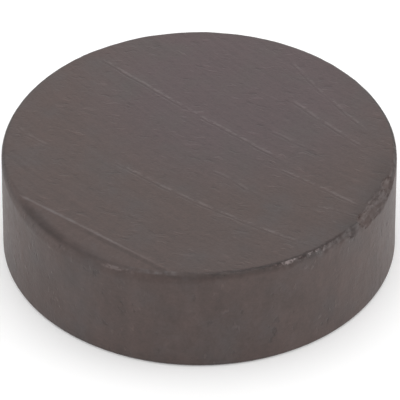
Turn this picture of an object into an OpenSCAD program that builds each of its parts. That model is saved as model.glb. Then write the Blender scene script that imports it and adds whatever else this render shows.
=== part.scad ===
// Disc magnet of hard ferrite: one piece, pressed, sintered and ground flat on both faces.
// Millimetres. The disc's axis is +Z, and the origin is the centre of its lower face.
// Angles run anticlockwise from +X, seen from above. The front is -Y.

/* [Disc] */
// Diameter of the pressed wall
disc_d = 17.6; // [12:0.1:30]
// Thickness between the two ground faces
disc_t = 5.1; // [3:0.1:10]
// Radius of the edge left around the upper face
top_edge_r = 0.2; // [0.05:0.05:0.5]
// Radius of the edge left around the lower face
bottom_edge_r = 0.15; // [0.05:0.05:0.5]

/* [Low corner] */
// Direction of the corner that grinding never reached
corner_angle = 232; // [0:1:359]
// Depth of the low corner, from its ridge out to the rim
corner_depth = 1.6; // [0.6:0.1:3]
// Drop from the ground face down to the low corner's rim
corner_drop = 0.18; // [0.05:0.01:0.4]
// Radius of the pressed shoulder that is left along the low corner
shoulder_r = 0.6; // [0.3:0.05:1]

/* [Worn rim] */
// Direction of the most worn stretch of rim
worn_angle = 325; // [0:1:359]
// Width and height of the wear at its deepest
worn_depth = 0.4; // [0.1:0.05:0.8]
// Angle on each side over which the wear fades out
worn_spread = 52; // [20:1:90]

/* [Chips] */
// Directions of the chips along the upper rim
chip_angles = [320, 328, 337, 345, 354, 4, 13, 277, 249];
// Widths of the chips along the rim, in the same order
chip_widths = [1.0, 1.4, 1.2, 1.5, 1.7, 1.4, 1.0, 0.5, 1.1];
// Depths of the chips, in the same order, measured in from a sharp rim
chip_depths = [0.35, 0.45, 0.4, 0.42, 0.36, 0.28, 0.2, 0.18, 0.46];

/* [Hidden] */
$fn = 128;

disc_r = disc_d / 2;
corner_tilt = atan(corner_drop / corner_depth);
worn_tilt = atan(worn_depth / (disc_r * (1 - cos(worn_spread))));

// The leaning shoulder stands out by this much, so that its arc still runs into the upright wall
shoulder_out = shoulder_r * (1 - (1 - sin(corner_tilt)) / cos(corner_tilt));

// Half of the pressed disc's section, with both edges rounded
module disc_section() {
    square([disc_r - max(top_edge_r, bottom_edge_r), disc_t]);
    translate([0, bottom_edge_r])
        square([disc_r, disc_t - top_edge_r - bottom_edge_r]);
    translate([disc_r - top_edge_r, disc_t - top_edge_r])
        circle(r = top_edge_r);
    translate([disc_r - bottom_edge_r, bottom_edge_r])
        circle(r = bottom_edge_r);
}

// Hangs a cutter that is drawn around the disc's axis from the rim at one angle.
// The cutter leans, so that it rises clear of the disc on the far side.
module lean_at_rim(angle, drop, tilt) {
    rotate([0, 0, angle])
        translate([disc_r, 0, disc_t - drop])
        rotate([0, tilt, 0])
        translate([-disc_r, 0, 0])
        children();
}

// Everything above the low corner's pressed face, and outside its rounded shoulder
module low_corner_cut() {
    lean_at_rim(corner_angle, corner_drop, corner_tilt) {
        translate([-disc_d, -disc_d, 0])
            cube([2 * disc_d, 2 * disc_d, disc_t]);
        rotate_extrude()
            translate([disc_r - shoulder_r + shoulder_out, -shoulder_r])
            difference() {
                translate([0, -shoulder_r * sin(corner_tilt)])
                    square(2 * shoulder_r);
                circle(r = shoulder_r);
            }
    }
}

// A cone around the rim that takes a 45 degree wear facet
module worn_rim_cut() {
    lean_at_rim(worn_angle, 0, worn_tilt)
        rotate_extrude()
            polygon([
                [disc_r - 2 * worn_depth, worn_depth],
                [disc_r + worn_depth, -2 * worn_depth],
                [disc_r + worn_depth, worn_depth],
            ]);
}

// One hollow chip. Its sphere meets the sharp rim over the chip's width.
module chip(angle, width, depth) {
    ball_r = (width * width / 4 + depth * depth) / (2 * depth);
    rotate([0, 0, angle])
        translate([disc_r, 0, disc_t])
        rotate([0, -45, 0])
        translate([ball_r - depth, 0, 0])
        sphere(r = ball_r);
}

module ground_disc() {
    difference() {
        rotate_extrude()
            disc_section();
        low_corner_cut();
    }
}

module worn_disc() {
    difference() {
        ground_disc();
        worn_rim_cut();
    }
}

module magnet_disc() {
    color([0.29, 0.27, 0.26])
        difference() {
            worn_disc();
            for (i = [0 : len(chip_angles) - 1])
                chip(chip_angles[i], chip_widths[i], chip_depths[i]);
        }
}

magnet_disc();
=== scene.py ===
"""The look of a ferrite disc magnet: one pressed, sintered and ground disc, on a pale bench."""

from math import atan, cos, hypot, pi, radians, sin, sqrt, tau

import bpy
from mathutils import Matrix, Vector


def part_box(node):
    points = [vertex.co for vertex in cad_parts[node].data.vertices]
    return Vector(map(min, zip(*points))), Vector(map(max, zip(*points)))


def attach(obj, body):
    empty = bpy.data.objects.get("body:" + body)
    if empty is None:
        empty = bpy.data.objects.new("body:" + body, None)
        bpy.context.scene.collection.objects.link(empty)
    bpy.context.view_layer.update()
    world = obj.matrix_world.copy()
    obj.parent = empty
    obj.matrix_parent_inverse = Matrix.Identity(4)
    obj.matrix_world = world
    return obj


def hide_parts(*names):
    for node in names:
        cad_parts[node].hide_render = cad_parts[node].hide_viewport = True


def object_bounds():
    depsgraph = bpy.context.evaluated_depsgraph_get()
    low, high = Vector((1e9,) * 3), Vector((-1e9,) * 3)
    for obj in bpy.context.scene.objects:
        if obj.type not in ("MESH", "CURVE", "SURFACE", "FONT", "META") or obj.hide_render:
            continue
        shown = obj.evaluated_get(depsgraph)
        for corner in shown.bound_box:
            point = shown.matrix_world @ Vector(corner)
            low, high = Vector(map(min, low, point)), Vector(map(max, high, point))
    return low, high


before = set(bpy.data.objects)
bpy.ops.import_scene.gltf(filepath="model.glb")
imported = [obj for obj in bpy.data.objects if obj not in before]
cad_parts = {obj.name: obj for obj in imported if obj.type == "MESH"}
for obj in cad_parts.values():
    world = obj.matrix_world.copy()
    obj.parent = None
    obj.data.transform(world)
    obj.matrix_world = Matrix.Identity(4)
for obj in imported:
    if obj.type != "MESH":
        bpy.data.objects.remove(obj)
cad_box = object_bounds()

MM = 0.001
DISC = "magnet_disc"

# The disc's size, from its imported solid
low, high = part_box(DISC)
RADIUS = (high.x - low.x) / 2
THICKNESS = high.z - low.z

# How the disc was pressed, ground and worn. Directions run anticlockwise from +X, and the front is -Y.
UPPER_EDGE = 0.2 * MM
LOWER_EDGE = 0.15 * MM
CORNER_ANGLE = radians(232)
CORNER_DEPTH = 1.5 * MM
CORNER_DROP = 0.18 * MM
SHOULDER = 0.6 * MM
WORN_ANGLE = radians(325)
WORN_DEPTH = 0.3 * MM
WORN_SPREAD = radians(52)
CRUMB_DEPTH = 0.16 * MM

# Chips along the upper rim: direction in degrees, then width and depth in millimetres
CHIPS = [
    (336, 4.6, 0.40),
    (320, 0.9, 0.30),
    (328, 1.4, 0.42),
    (337, 1.1, 0.44),
    (345, 1.5, 0.36),
    (354, 1.6, 0.14),
    (4, 1.3, 0.10),
    (13, 1.0, 0.07),
    (277, 0.5, 0.10),
    (249, 0.5, 0.26),
    (244.5, 1.4, 0.24),
]

# The wheel's long marks, in radii: start, end, how far the middle bows to the front left, and strength
LONG_MARKS = [
    ((-0.50, 0.76), (0.44, -0.09), 0.012, 1.0),
    ((-0.43, -0.08), (0.55, -0.75), 0.035, 0.9),
    ((-0.92, 0.20), (-0.76, 0.05), 0.012, 0.6),
    ((0.48, 0.73), (0.86, 0.16), 0.014, 0.7),
    ((0.48, 0.41), (0.83, 0.03), 0.004, 0.8),
    ((0.37, 0.16), (0.59, 0.00), 0.003, 0.5),
    ((0.41, -0.15), (0.80, -0.44), -0.004, 0.9),
    ((0.59, -0.45), (0.79, -0.53), -0.015, 0.5),
    ((0.07, -0.16), (0.25, -0.32), -0.010, 0.5),
]

# The grinding wheel's middle, seen from the disc's: its direction and its distance
WHEEL_ANGLE = radians(48)
WHEEL_REACH = 45 * MM

# Colours of the body, of a fresh burr or break, also used under painted glints and highlights, and of the
# dirt in an old break, also used under painted shade
WARM = (0.070, 0.0465, 0.0415, 1.0)
MAUVE = (0.0705, 0.0482, 0.0505, 1.0)
COOL = (0.0625, 0.0492, 0.0478, 1.0)
PALE = (0.0675, 0.0565, 0.0560, 1.0)
DIRT_AND_SHADE = (0.084, 0.0455, 0.0405, 1.0)

# The disc's mesh: cells around it, rows along half of its section, and where and how much the cells crowd.
# Points closer than the weld are merged, edges past the crease are sharp, and no divisor is below the last.
CELLS_AROUND = 560
LOWER_FACE_ROWS = 16
LOWER_EDGE_ROWS = 5
WALL_ROWS = 46
UPPER_EDGE_ROWS = 8
UPPER_FACE_ROWS = 70
FINE_ANGLE = radians(290)
FINE_SHARE = 0.35
WELD = 0.002 * MM
CREASE = radians(38)
SMALLEST = 0.01 * MM

# The studio: the bench, the camera, and each soft box with its place, width, depth and power
BENCH_HALF = 1.2
BENCH_LEVEL = -0.01 * MM
BENCH_GLOW = 0.14
ROOM_LIGHT = 0.9
CAMERA_LIFT = radians(39)
CAMERA_REACH = 33 * RADIUS
CAMERA_LENS = 584.3
AIM_BELOW = 0.023 * RADIUS
AIM_RIGHT = 0.0044 * RADIUS
SOFT_BOXES = [
    ("top_box", (0.0, 0.0, 0.5), 0.5, 0.5, 0.6),
    ("rear_box", (0.0, 0.5, 0.25), 0.7, 0.3, 0.22),
    ("left_box", (-0.5, 0.0, 0.12), 0.3, 0.2, 0.34),
    ("right_box", (0.5, 0.0, 0.12), 0.3, 0.2, 0.7),
]


class Socket:
    """One output of a node. Arithmetic written with it adds Math or Vector Math nodes to its tree."""

    def __init__(self, graph, output):
        self.graph = graph
        self.output = output

    def other(self, name):
        """Another output of the same node."""
        return Socket(self.graph, self.output.node.outputs[name])

    def parts(self):
        """The three numbers of a vector."""
        x = self.graph.add("ShaderNodeSeparateXYZ", {}, [self])
        return x, x.other("Y"), x.other("Z")

    def __add__(self, value):
        return self.graph.sum("ADD", self, value)

    def __radd__(self, value):
        return self.graph.sum("ADD", value, self)

    def __sub__(self, value):
        return self.graph.sum("SUBTRACT", self, value)

    def __rsub__(self, value):
        return self.graph.sum("SUBTRACT", value, self)

    def __mul__(self, value):
        return self.graph.sum("MULTIPLY", self, value)

    def __rmul__(self, value):
        return self.graph.sum("MULTIPLY", value, self)

    def __truediv__(self, value):
        return self.graph.sum("DIVIDE", self, value)

    def __rtruediv__(self, value):
        return self.graph.sum("DIVIDE", value, self)

    def __abs__(self):
        return self.graph.sum("ABSOLUTE", self)

    def at_least(self, value):
        return self.graph.sum("MAXIMUM", self, value)

    def at_most(self, value):
        return self.graph.sum("MINIMUM", self, value)

    def above(self, value):
        return self.graph.sum("GREATER_THAN", self, value)

    def step(self, start, end):
        """0 before start, 1 after end, and smooth between them. Start may be past end."""
        return self.graph.add(
            "ShaderNodeMapRange",
            {"interpolation_type": "SMOOTHSTEP"},
            {"Value": self, "From Min": start, "From Max": end},
        )

    def band(self, start, full, last, end):
        """0 before start, 1 from full to last, and 0 after end."""
        return self.step(start, full) * self.step(end, last)


class Graph:
    """Adds nodes to one tree."""

    def __init__(self, tree):
        self.tree = tree

    def add(self, kind, settings=None, inputs=()):
        """A new node: its settings first, then a value or a link for each socket, by name or in order."""
        node = self.tree.nodes.new(kind)
        for name, value in (settings or {}).items():
            setattr(node, name, value)
        sockets = [socket for socket in node.inputs if socket.enabled]
        named = {socket.name: socket for socket in reversed(sockets)}
        pairs = inputs.items() if isinstance(inputs, dict) else enumerate(inputs)
        for key, value in pairs:
            socket = named[key] if isinstance(key, str) else sockets[key]
            if isinstance(value, Socket):
                self.tree.links.new(value.output, socket)
            elif socket.type == "VECTOR" and isinstance(value, (int, float)):
                socket.default_value = (value, value, value)
            else:
                socket.default_value = value
        outputs = [output for output in node.outputs if output.enabled]
        return Socket(self, outputs[0]) if outputs else None

    def sum(self, operation, *values):
        """Arithmetic on numbers, or on vectors where any value is one."""
        vectors = [v for v in values if isinstance(v, Socket) and v.output.type == "VECTOR"]
        kind = "ShaderNodeVectorMath" if vectors else "ShaderNodeMath"
        return self.add(kind, {"operation": operation}, values)

    def xyz(self, x, y, z):
        return self.add("ShaderNodeCombineXYZ", {}, (x, y, z))

    def length(self, x, y, z=0.0):
        return self.add("ShaderNodeVectorMath", {"operation": "LENGTH"}, [self.xyz(x, y, z)])

    def turned(self, vector, axis, angle):
        """A vector turned about one axis."""
        return self.add(
            "ShaderNodeVectorRotate",
            {"rotation_type": axis},
            {"Vector": vector, "Angle": angle},
        )

    def noise(self, place, scale, detail=2.0, roughness=0.5):
        """Soft noise over a place, from about 0 to 1."""
        return self.add(
            "ShaderNodeTexNoise",
            {},
            {"Vector": place, "Scale": scale, "Detail": detail, "Roughness": roughness},
        )

    def mix(self, amount, first, second):
        """A colour between two colours, or a number between two numbers."""
        colours = isinstance(first, tuple) or (isinstance(first, Socket) and first.output.type == "RGBA")
        kind = "RGBA" if colours else "FLOAT"
        return self.add(
            "ShaderNodeMix",
            {"data_type": kind},
            {"Factor": amount, "A": first, "B": second},
        )


# ---------------------------------------------------------------- the disc's shape


class Lean:
    """A cutter drawn around the disc's axis and leant over at one place on the rim. It moves points."""

    def __init__(self, graph, radius, height, angle, tilt):
        self.graph, self.angle, self.tilt = graph, angle, tilt
        self.rim = graph.xyz(radius, 0.0, 0.0)
        self.lift = graph.xyz(0.0, 0.0, height)

    def seen(self, place):
        """Distance from the leaning axis, height over the leaning plane, and the point itself."""
        flat = self.graph.turned(place - self.lift, "Z_AXIS", -self.angle)
        own = self.graph.turned(flat - self.rim, "Y_AXIS", -self.tilt) + self.rim
        x, y, up = own.parts()
        return self.graph.length(x, y), up, (x, y)

    def put(self, distance, up, was, old_distance):
        """The place of a point moved to a new distance and height."""
        share = distance / old_distance.at_least(SMALLEST)
        own = self.graph.xyz(was[0] * share, was[1] * share, up)
        flat = self.graph.turned(own - self.rim, "Y_AXIS", self.tilt) + self.rim
        return self.graph.turned(flat, "Z_AXIS", self.angle) + self.lift


def cut_low_corner(g, place, size):
    """Lowers the corner that the grinding wheel missed, with its pressed shoulder."""
    tilt = atan(CORNER_DROP / CORNER_DEPTH)
    lean = Lean(g, size["Radius"], size["Thickness"] - size["Corner drop"], CORNER_ANGLE, tilt)
    shoulder = size["Shoulder"]
    middle = size["Radius"] - shoulder * ((1 - sin(tilt)) / cos(tilt))
    distance, up, was = lean.seen(place)
    out = distance - middle
    rise = up + shoulder
    across = out.at_least(0.0)
    spread = g.length(across, rise)
    pulled = (shoulder / spread.at_least(SMALLEST)).at_most(1.0)
    share = g.mix(rise.above(shoulder * -sin(tilt)), 1.0, pulled)
    return lean.put(middle + out.at_most(0.0) + across * share, rise * share - shoulder, was, distance)


def wear_rim(g, place, size, grain):
    """Takes a rough 45 degree facet off the worn stretch of rim, and tells how far in each point went."""
    tilt = atan(WORN_DEPTH / (RADIUS * (1 - cos(WORN_SPREAD))))
    lean = Lean(g, size["Radius"], size["Thickness"], WORN_ANGLE, tilt)
    distance, up, was = lean.seen(place)
    coarse = g.noise(grain, 0.9, 2.0) - 0.5
    fine = g.noise(grain, 4.0, 3.0, 0.6) - 0.5
    depth = size["Wear"] + coarse * (0.25 * MM) + fine * (0.16 * MM)
    over = (distance - size["Radius"] + up + depth).at_least(0.0) * 0.5
    return lean.put(distance - over, up - over, was, distance), over


def nibble_rim(g, place, size, grain):
    """Takes crumbs off the whole upper rim, and tells how far in each point went."""
    x, y, z = place.parts()
    fine = g.noise(grain, 3.2, 3.0, 0.65)
    depth = (fine - 0.41).at_most(CRUMB_DEPTH / MM) * (1.0 - 0.2 * y.step(-2 * MM, 3 * MM)) * MM
    over = (g.length(x, y) - size["Radius"] + z - size["Thickness"] + depth).at_least(0.0) * 0.5
    out = g.xyz(x, y, 0.0) / g.length(x, y).at_least(SMALLEST)
    return place - (out + (0.0, 0.0, 1.0)) * over, over


def cut_chip(g, place, size, grain, angle, width, depth):
    """Pushes the rim in to one chip's hollow, and tells how far in each point went.

    The hollow is part of a ball whose middle is out and up from the rim at 45 degrees.
    """
    ball = (width * width / 4 + depth * depth) / (2 * depth)
    out = (ball - depth) / sqrt(2) * MM
    away = size["Radius"] + out
    centre = g.xyz(away * cos(radians(angle)), away * sin(radians(angle)), size["Thickness"] + out)
    arm = place - centre
    reach = g.length(*arm.parts())
    hollow = ball * MM + grain * MM
    push = (hollow / reach).at_least(1.0)
    return centre + arm * push, (hollow - reach).at_least(0.0)


def disc_section(g, row, size):
    """Distance from the axis and height, along half of the section, from the lower centre to the upper."""
    lower_edge, upper_edge = size["Lower edge"], size["Upper edge"]
    start = 0
    run = []
    for rows in (LOWER_FACE_ROWS, LOWER_EDGE_ROWS, WALL_ROWS, UPPER_EDGE_ROWS, UPPER_FACE_ROWS):
        run.append(((row - start) / rows).at_least(0.0).at_most(1.0))
        start += rows
    lower_turn = run[1] * (pi / 2)
    upper_turn = run[3] * (pi / 2)
    # Rows crowd towards the upper rim, on the wall and on the upper face
    wall = run[2] * (1.35 - 0.35 * run[2])
    inward = run[4] * (0.4 + 0.6 * run[4])
    distance = (size["Radius"] - lower_edge) * run[0] + lower_edge * g.sum("SINE", lower_turn)
    distance = distance - upper_edge * (1.0 - g.sum("COSINE", upper_turn))
    distance = distance - (size["Radius"] - upper_edge) * inward
    height = lower_edge * (1.0 - g.sum("COSINE", lower_turn))
    height = height + (size["Thickness"] - lower_edge - upper_edge) * wall
    height = height + upper_edge * g.sum("SINE", upper_turn)
    return distance, height


def disc_tree(sizes, finish):
    """The tree that presses, grinds and wears the disc, from one sheet of cells wrapped around its axis."""
    tree = bpy.data.node_groups.new("Ground ferrite disc", "GeometryNodeTree")
    g = Graph(tree)
    for name, value in sizes.items():
        tree.interface.new_socket(name, in_out="INPUT", socket_type="NodeSocketFloat").default_value = value
    tree.interface.new_socket("Disc", in_out="OUTPUT", socket_type="NodeSocketGeometry")
    inlet = g.add("NodeGroupInput")
    size = {name: inlet.other(name) for name in sizes}

    rows = LOWER_FACE_ROWS + LOWER_EDGE_ROWS + WALL_ROWS + UPPER_EDGE_ROWS + UPPER_FACE_ROWS
    sheet = g.add(
        "GeometryNodeMeshGrid",
        {},
        {"Size X": 1.0, "Size Y": 1.0, "Vertices X": CELLS_AROUND + 1, "Vertices Y": rows + 1},
    )
    across, along, _ = g.add("GeometryNodeInputPosition").parts()
    turn = (across + 0.5) * tau
    turn = turn - FINE_SHARE * g.sum("SINE", turn - FINE_ANGLE)
    distance, height = disc_section(g, (along + 0.5) * rows, size)
    place = g.xyz(distance * g.sum("COSINE", turn), distance * g.sum("SINE", turn), height)
    grain = place / MM + size["Seed"]

    place = cut_low_corner(g, place, size)
    place, wear = wear_rim(g, place, size, grain)
    place, crumbs = nibble_rim(g, place, size, grain)
    crumble = (g.noise(grain, 2.6, 3.0, 0.7) - 0.5) * 0.40
    crumble = crumble + (g.noise(grain, 7.0, 2.0, 0.6) - 0.5) * 0.10
    broken = wear + crumbs
    for chip in CHIPS:
        place, chipped = cut_chip(g, place, size, crumble, *chip)
        broken = broken + chipped

    shape = g.add("GeometryNodeSetPosition", {}, {"Geometry": sheet, "Position": place})
    shape = g.add(
        "GeometryNodeStoreNamedAttribute",
        {"data_type": "FLOAT", "domain": "POINT"},
        {"Geometry": shape, "Name": "broken", "Value": broken / MM},
    )
    shape = g.add("GeometryNodeMergeByDistance", {}, {"Geometry": shape, "Distance": WELD})

    # The pressed skin is a little lumpy. The ground faces are flat.
    here = g.add("GeometryNodeInputPosition")
    x, y, z = here.parts()
    skin = here / MM + size["Seed"]
    wall = g.length(x, y).step(RADIUS - 0.5 * MM, RADIUS - 0.1 * MM)
    pressed = wall * z.step(0.0, 0.6 * MM)
    lumps = (g.noise(skin, 0.7, 3.0) - 0.5) * (0.05 * MM)
    lumps = lumps + (g.noise(skin, 3.5, 2.0) - 0.5) * (0.012 * MM)
    offset = g.add("GeometryNodeInputNormal") * (lumps * pressed)
    shape = g.add("GeometryNodeSetPosition", {}, {"Geometry": shape, "Offset": offset})

    crease = g.add("GeometryNodeInputMeshEdgeAngle").above(CREASE)
    shape = g.add(
        "GeometryNodeSetShadeSmooth",
        {"domain": "FACE"},
        {"Geometry": shape, "Shade Smooth": True},
    )
    shape = g.add(
        "GeometryNodeSetShadeSmooth",
        {"domain": "EDGE"},
        {"Geometry": shape, "Selection": crease, "Shade Smooth": False},
    )
    shape = g.add("GeometryNodeRealizeInstances", {}, {"Geometry": shape})
    shape = g.add("GeometryNodeSetMaterial", {}, {"Geometry": shape, "Material": finish})
    g.add("NodeGroupOutput", {}, {"Disc": shape})
    return tree


def make_disc(finish):
    """The whole disc as one closed mesh."""
    sizes = {
        "Radius": RADIUS,
        "Thickness": THICKNESS,
        "Upper edge": UPPER_EDGE,
        "Lower edge": LOWER_EDGE,
        "Corner drop": CORNER_DROP,
        "Shoulder": SHOULDER,
        "Wear": WORN_DEPTH,
        "Seed": 7.0,
    }
    tree = disc_tree(sizes, finish)
    start = bpy.data.objects.new("disc_start", bpy.data.meshes.new("disc_start"))
    bpy.context.scene.collection.objects.link(start)
    maker = start.modifiers.new("Ground ferrite disc", "NODES")
    maker.node_group = tree
    for item in tree.interface.items_tree:
        if item.in_out == "INPUT":
            maker[item.identifier] = sizes[item.name]
    bpy.context.view_layer.update()
    made = start.evaluated_get(bpy.context.evaluated_depsgraph_get())
    mesh = bpy.data.meshes.new_from_object(made)
    start.modifiers.remove(maker)
    bpy.data.objects.remove(start)
    mesh.name = "ferrite_disc"
    # The sheet of cells starts with an empty slot, before the one for its finish
    mesh.materials.pop(index=0)
    disc = bpy.data.objects.new("ferrite_disc", mesh)
    bpy.context.scene.collection.objects.link(disc)
    return disc


# ---------------------------------------------------------------- the finish of the ferrite


class Surface:
    """Where a point of the finish is, in millimetres and in radii, and how much of each surface it is."""

    def __init__(self, g):
        thickness = THICKNESS / MM
        self.place = g.add("ShaderNodeTexCoord").other("Object") * (1 / MM)
        self.x, self.y, self.z = self.place.parts()
        self.rx, self.ry = self.x / (RADIUS / MM), self.y / (RADIUS / MM)
        self.out = g.length(self.rx, self.ry)
        self.turn = g.sum("ARCTAN2", self.y, self.x)
        along_corner = self.x * cos(CORNER_ANGLE) + self.y * sin(CORNER_ANGLE)
        self.past_ridge = along_corner - (RADIUS - CORNER_DEPTH) / MM

        # Each kind of surface, from 0 to 1
        self.upper = self.z.step(thickness - 0.06, thickness - 0.02)
        lower = self.z.step(0.05, 0.02) * self.out.step(0.985, 0.975)
        self.ground = self.upper * self.past_ridge.step(0.03, -0.03) + lower
        self.wall = self.out.step(0.972, 0.992)
        self.high = self.z.step(thickness - 1.0, thickness - 0.6)
        self.top_edge = self.z.step(thickness - 0.30, thickness - 0.12)
        depth = g.add("ShaderNodeAttribute", {"attribute_name": "broken"}).other("Fac")
        self.broken = depth.step(0.01, 0.05)

        # Grain of the sintered body, from fine to cloudy
        self.grain = g.noise(self.place, 9.0, 3.0, 0.6) - 0.5
        self.speckle = g.noise(self.place, 3.6, 3.0, 0.65) - 0.5
        self.mottle = g.noise(self.place, 1.5, 3.0, 0.6)
        self.clouds = g.noise(self.place, 0.45, 3.0, 0.5)

    def stretch(self, start, full, last, end):
        """1 along a stretch of the rim, between directions in degrees from -180 to 180, soft at its ends."""
        return self.turn.band(radians(start), radians(full), radians(last), radians(end))


def long_mark(x, y, start, end, bow, strength):
    """One long mark of the wheel: its burr, paler and with a painted highlight, and beside it its furrow
    with painted shadow. All is in radii.
    """
    run = hypot(end[0] - start[0], end[1] - start[1])
    ux, uy = (end[0] - start[0]) / run, (end[1] - start[1]) / run
    along = ((x - start[0]) * ux + (y - start[1]) * uy) / run
    aside = (x - start[0]) * -uy + (y - start[1]) * ux
    bowed = aside + (4.0 * bow) * along * (1.0 - along)
    ends = along.band(-0.02, 0.06, 0.9, 1.02) * strength
    # The burr's bright line is a paler colour with a painted highlight, and the furrow beside it is painted
    # shadow
    burr = (abs(bowed).step(0.014, 0.001) * 0.8 + abs(bowed).step(0.050, 0.0) * 0.22) * ends
    furrow = abs(bowed + 0.012).step(0.009, 0.003) * ends
    return burr, furrow


def wheel_marks(g, at):
    """Fine streaks on wide arcs, short strokes, and the burrs and furrows of the long marks, with painted
    highlights on the burrs and painted shadow in the furrows.
    """
    reach = WHEEL_REACH / MM
    across = g.length(at.x - reach * cos(WHEEL_ANGLE), at.y - reach * sin(WHEEL_ANGLE))
    along = at.x * sin(WHEEL_ANGLE) - at.y * cos(WHEEL_ANGLE)
    streaks = g.noise(g.xyz(across * 4.0, along * 0.25, 0.0), 1.0, 4.0, 0.65) - 0.5

    sway = (g.noise(at.place, 1.4, 2.0) - 0.5) * 0.022
    stroke_place = g.xyz(at.x * 1.15 - at.y * 0.3, at.x * 1.2 + at.y * 4.6 + sway * 120.0, at.z)
    dashes = g.noise(stroke_place, 1.0, 1.0)
    strokes = dashes.step(0.58, 0.72) - dashes.step(0.42, 0.28)
    strokes = strokes * g.noise(at.place, 1.1, 2.0).step(0.46, 0.62)

    bent_x, bent_y = at.rx + sway * 0.5, at.ry + sway * 0.5
    burrs_and_highlights, furrows_and_shadows = 0.0, 0.0
    for mark in LONG_MARKS:
        burr, furrow = long_mark(bent_x, bent_y, *mark)
        burrs_and_highlights, furrows_and_shadows = burr + burrs_and_highlights, furrow + furrows_and_shadows
    breaks = g.noise(at.place, 2.2, 3.0, 0.6).step(0.30, 0.62)
    return streaks, strokes, burrs_and_highlights * breaks * at.upper, furrows_and_shadows * breaks * at.upper


def die_marks(g, at):
    """The die's drag marks down the wall, soft stains, and dents and bumps."""
    drag = g.noise(g.xyz(at.turn * 16.0, at.z * 0.5, 0.0), 1.0, 3.0, 0.6) - 0.5
    stain = g.noise(g.xyz(at.x * 0.8, at.y * 0.8, at.z * 0.55), 1.0, 3.0, 0.6) - 0.5
    dents = g.noise(g.xyz(at.x * 3.0, at.y * 3.0, at.z * 1.7), 1.0, 2.0)
    pits = dents.step(0.60, 0.72) - dents.step(0.38, 0.28)
    return drag, stain, pits * g.noise(at.place, 0.9, 2.0).step(0.46, 0.60)


def corner_marks(at):
    """The low corner's bright ridge with painted shade in a thin line past it, its pale lip, and painted
    shade on its shoulder.
    """
    ridge = abs(at.past_ridge - 0.02).step(at.mottle * 0.16 + 0.02, 0.02) * at.upper
    ridge = ridge * (0.1 + at.mottle) * at.x.step(-0.8, -3.4).at_least(0.2)
    # Painted shade in a thin line just past the ridge
    fold_shade = abs(at.past_ridge - 0.20).step(0.14, 0.04) * at.high * (1.0 - at.wall) * at.x.step(-6.5, -4.0)
    lip = at.out.band(0.956, 0.963, 0.974, 0.982) * at.high * at.mottle.step(0.30, 0.60)
    lip = lip * at.stretch(-120, -108, -99, -93)
    # Painted shade on the curved shoulder where the corner's strip turns down into the wall
    shoulder = at.out.band(0.920, 0.955, 0.972, 0.992) * at.past_ridge.step(0.0, 0.5) * at.high
    shoulder = shoulder * at.turn.step(radians(-108), radians(-142)) * (at.mottle * 2.4).at_most(1.3)
    return ridge, fold_shade, lip, shoulder


def rim_shade_and_dirt(at):
    """Painted shade along the upper rim, painted shadow at the wall's foot, and painted shade in a frayed
    line where the worn rim is undercut; dirt in old breaks and as a smudge.
    """
    start = 0.978 - 0.023 * at.ry.step(-0.3, -0.7)
    # Painted shade on the rounded upper rim, stronger towards the back and the right
    rim = at.out.band(start, start + 0.014, 0.988, 1.004) * at.top_edge
    rim = rim * (0.26 + 0.24 * at.ry.step(-0.2, 0.3) + 0.2 * at.rx.step(0.8, 0.95))
    # Painted contact shadow at the wall's foot
    foot_shadow = at.z.step(0.22, 0.05) * at.out.step(0.970, 0.985)
    old = at.broken * at.x.step(-3.0, -1.5)
    frayed = at.out + at.speckle * 0.05
    # Painted shade in a thin frayed line where the worn rim is undercut
    undercut_shade = frayed.band(0.955, 0.966, 0.974, 0.982) * at.stretch(-90, -80, -46, -38)
    smudge = frayed.step(0.84, 0.97) * at.stretch(-48, -36, -10, 6) * at.upper
    return rim, foot_shadow, old, undercut_shade, smudge


def paint_glints(g, at, old):
    """Painted glints: bright specks painted along two stretches of rim where the crumbled edge catches
    light, and a few in the old breaks.
    """
    sparkle = g.noise(at.place, 4.5, 2.0, 0.6).step(0.42, 0.58)
    bright = at.stretch(-69, -63, -56, -47) + at.stretch(-121, -117, -112, -108) * 0.3
    # Painted highlight: the glints are bright specks in the colour
    return sparkle * (0.06 * old + bright * at.out.band(0.972, 0.977, 0.983, 0.990) * at.high)


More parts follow.
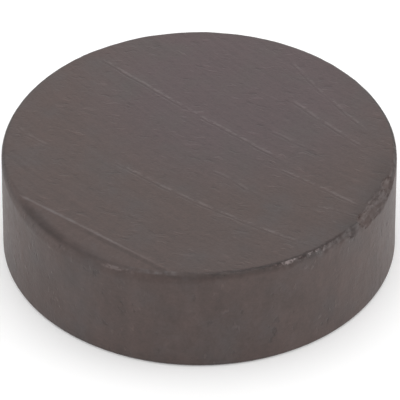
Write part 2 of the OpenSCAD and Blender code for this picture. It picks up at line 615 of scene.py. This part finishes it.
def ferrite():
    """Sintered hard ferrite: a ground face with wheel marks, a pressed wall and worn, crumbled edges, with
    painted shade along the edges, the corner and the wall's foot, and painted glints.
    """
    material = bpy.data.materials.new("ground_ferrite")
    material.use_nodes = True
    tree = material.node_tree
    tree.nodes.clear()
    g = Graph(tree)
    at = Surface(g)
    streaks, strokes, burrs_and_highlights, furrows_and_shadows = wheel_marks(g, at)
    drag, stain, pits = die_marks(g, at)
    ridge, fold_shade, lip, shoulder = corner_marks(at)
    rim, foot_shadow, old, undercut_shade, smudge = rim_shade_and_dirt(at)
    painted_glints = paint_glints(g, at, old)

    colour = g.mix(g.length(at.rx - 0.2, at.ry - 0.5).step(1.0, 0.35), WARM, MAUVE)
    colour = g.mix((at.clouds + at.speckle * 0.3).step(0.42, 0.80), colour, COOL)
    # Dirt colour in old breaks, and the same colour under painted shade in the undercut line and on the
    # corner's shoulder
    colour = g.mix(undercut_shade * 0.9 + old * 0.3 + shoulder * 0.2, colour, DIRT_AND_SHADE)
    # Pale colour on burrs, the ridge and the lip, and under painted glints and burr highlights
    colour = g.mix((burrs_and_highlights * 0.5 + painted_glints * 2.0 + ridge * 1.2 + lip).at_most(0.85), colour, PALE)

    tone = 0.98 + at.grain * 0.45 + at.speckle * 0.58 + (at.clouds - 0.5) * 0.12
    # Burrs are lightened as paler colour and painted highlight, furrows darkened as painted shadow
    ground_tone = at.ry * 0.12 + streaks * 0.38 + strokes * 0.18 + burrs_and_highlights * 0.48 - furrows_and_shadows * 0.14
    wall_tone = drag * 0.40 + stain * 0.50 + pits * 0.22 - 0.08
    broken_tone = at.speckle * 0.5 + at.grain * 0.5
    tone = tone + at.ground * ground_tone + at.wall * wall_tone
    # The ridge is brightened, the thin line past it darkened as painted shade, and the lip lightened
    tone = tone + ridge * 0.85 - fold_shade * 0.22 + lip * 0.40 + at.broken * broken_tone
    # Darker under painted shade on the rim, the corner's shoulder, the undercut line and the wall's foot,
    # and under dirt in old breaks and the smudge
    shade_and_dirt = (1.0 - rim * (1.0 - lip)) * (1.0 - shoulder * 0.34 * (1.0 - lip))
    shade_and_dirt = shade_and_dirt * (1.0 - foot_shadow * 0.25) * (1.0 - old * 0.45) * (1.0 - undercut_shade * 0.55) * (1.0 - smudge * 0.25)
    # The painted glints brighten the colour last
    tone = tone * shade_and_dirt + painted_glints * 2.3
    shade = g.add("ShaderNodeVectorMath", {"operation": "SCALE"}, {"Vector": colour, "Scale": tone})

    height = at.ground * (streaks * 0.4 + strokes * 0.3 + burrs_and_highlights * 0.7 - furrows_and_shadows * 0.4)
    height = height + at.grain * 0.3 + at.speckle * (0.4 + at.broken * 0.6)
    height = height + at.wall * (drag * 0.5 + pits * 0.7)
    bump = g.add("ShaderNodeBump", {}, {"Strength": 1.0, "Distance": 0.03 * MM, "Height": height})
    rough = 0.46 + 0.30 * at.speckle + 0.05 * at.wall + 0.24 * at.broken - 0.30 * painted_glints
    shader = g.add(
        "ShaderNodeBsdfPrincipled",
        {},
        {"Base Color": shade, "Roughness": rough, "Normal": bump, "IOR": 1.45},
    )
    g.add("ShaderNodeOutputMaterial", {}, {"Surface": shader})
    return material


# ---------------------------------------------------------------- the studio


def make_floor():
    """A wide, flat, pale bench top just under the disc. It glows a little, as a lit table does."""
    half, level = BENCH_HALF, BENCH_LEVEL
    corners = [(-half, -half), (half, -half), (half, half), (-half, half)]
    mesh = bpy.data.meshes.new("bench_top")
    mesh.from_pydata([(x, y, level) for x, y in corners], [], [(0, 1, 2, 3)])
    white = bpy.data.materials.new("bench_white")
    white.use_nodes = True
    shader = white.node_tree.nodes["Principled BSDF"]
    shader.inputs["Base Color"].default_value = (0.9, 0.9, 0.9, 1.0)
    shader.inputs["Roughness"].default_value = 0.7
    shader.inputs["Emission Color"].default_value = (1, 1, 1, 1)
    shader.inputs["Emission Strength"].default_value = BENCH_GLOW
    mesh.materials.append(white)
    floor = bpy.data.objects.new("bench_top", mesh)
    bpy.context.scene.collection.objects.link(floor)


def stand(thing, place, aim):
    """Stands a lamp or a camera at a place, looking at the aim."""
    thing.location = place
    thing.rotation_mode = "QUATERNION"
    thing.rotation_quaternion = (Vector(place) - aim).to_track_quat("Z", "Y")
    bpy.context.scene.collection.objects.link(thing)


def make_soft_box(name, place, width, depth, power, aim):
    """One rectangular lamp, looking at the aim."""
    lamp = bpy.data.lights.new(name, "AREA")
    lamp.shape = "RECTANGLE"
    lamp.size, lamp.size_y = width, depth
    lamp.energy = power
    stand(bpy.data.objects.new(name, lamp), place, aim)


def make_camera(middle):
    """A long lens, well above the bench and in front of the disc."""
    back = Vector((0, -cos(CAMERA_LIFT), sin(CAMERA_LIFT)))
    up = Vector((0, sin(CAMERA_LIFT), cos(CAMERA_LIFT)))
    aim = middle - up * AIM_BELOW + Vector((AIM_RIGHT, 0, 0))
    camera = bpy.data.cameras.new("camera")
    camera.sensor_width = 36
    camera.lens = CAMERA_LENS
    camera.clip_start, camera.clip_end = 0.05, 10
    shown = bpy.data.objects.new("camera", camera)
    stand(shown, middle + back * CAMERA_REACH, aim)
    bpy.context.scene.camera = shown


def light_studio(middle):
    """A white room and four soft boxes, all aimed at the middle of the disc."""
    world = bpy.data.worlds.new("pale_room")
    world.use_nodes = True
    world.node_tree.nodes["Background"].inputs["Color"].default_value = (1, 1, 1, 1)
    world.node_tree.nodes["Background"].inputs["Strength"].default_value = ROOM_LIGHT
    bpy.context.scene.world = world
    for name, place, width, depth, power in SOFT_BOXES:
        make_soft_box(name, place, width, depth, power, middle)
    bpy.context.scene.view_settings.view_transform = "Standard"


middle = (cad_box[0] + cad_box[1]) / 2
make_camera(middle)
light_studio(middle)
make_floor()
disc = make_disc(ferrite())
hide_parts(DISC)
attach(disc, "root")
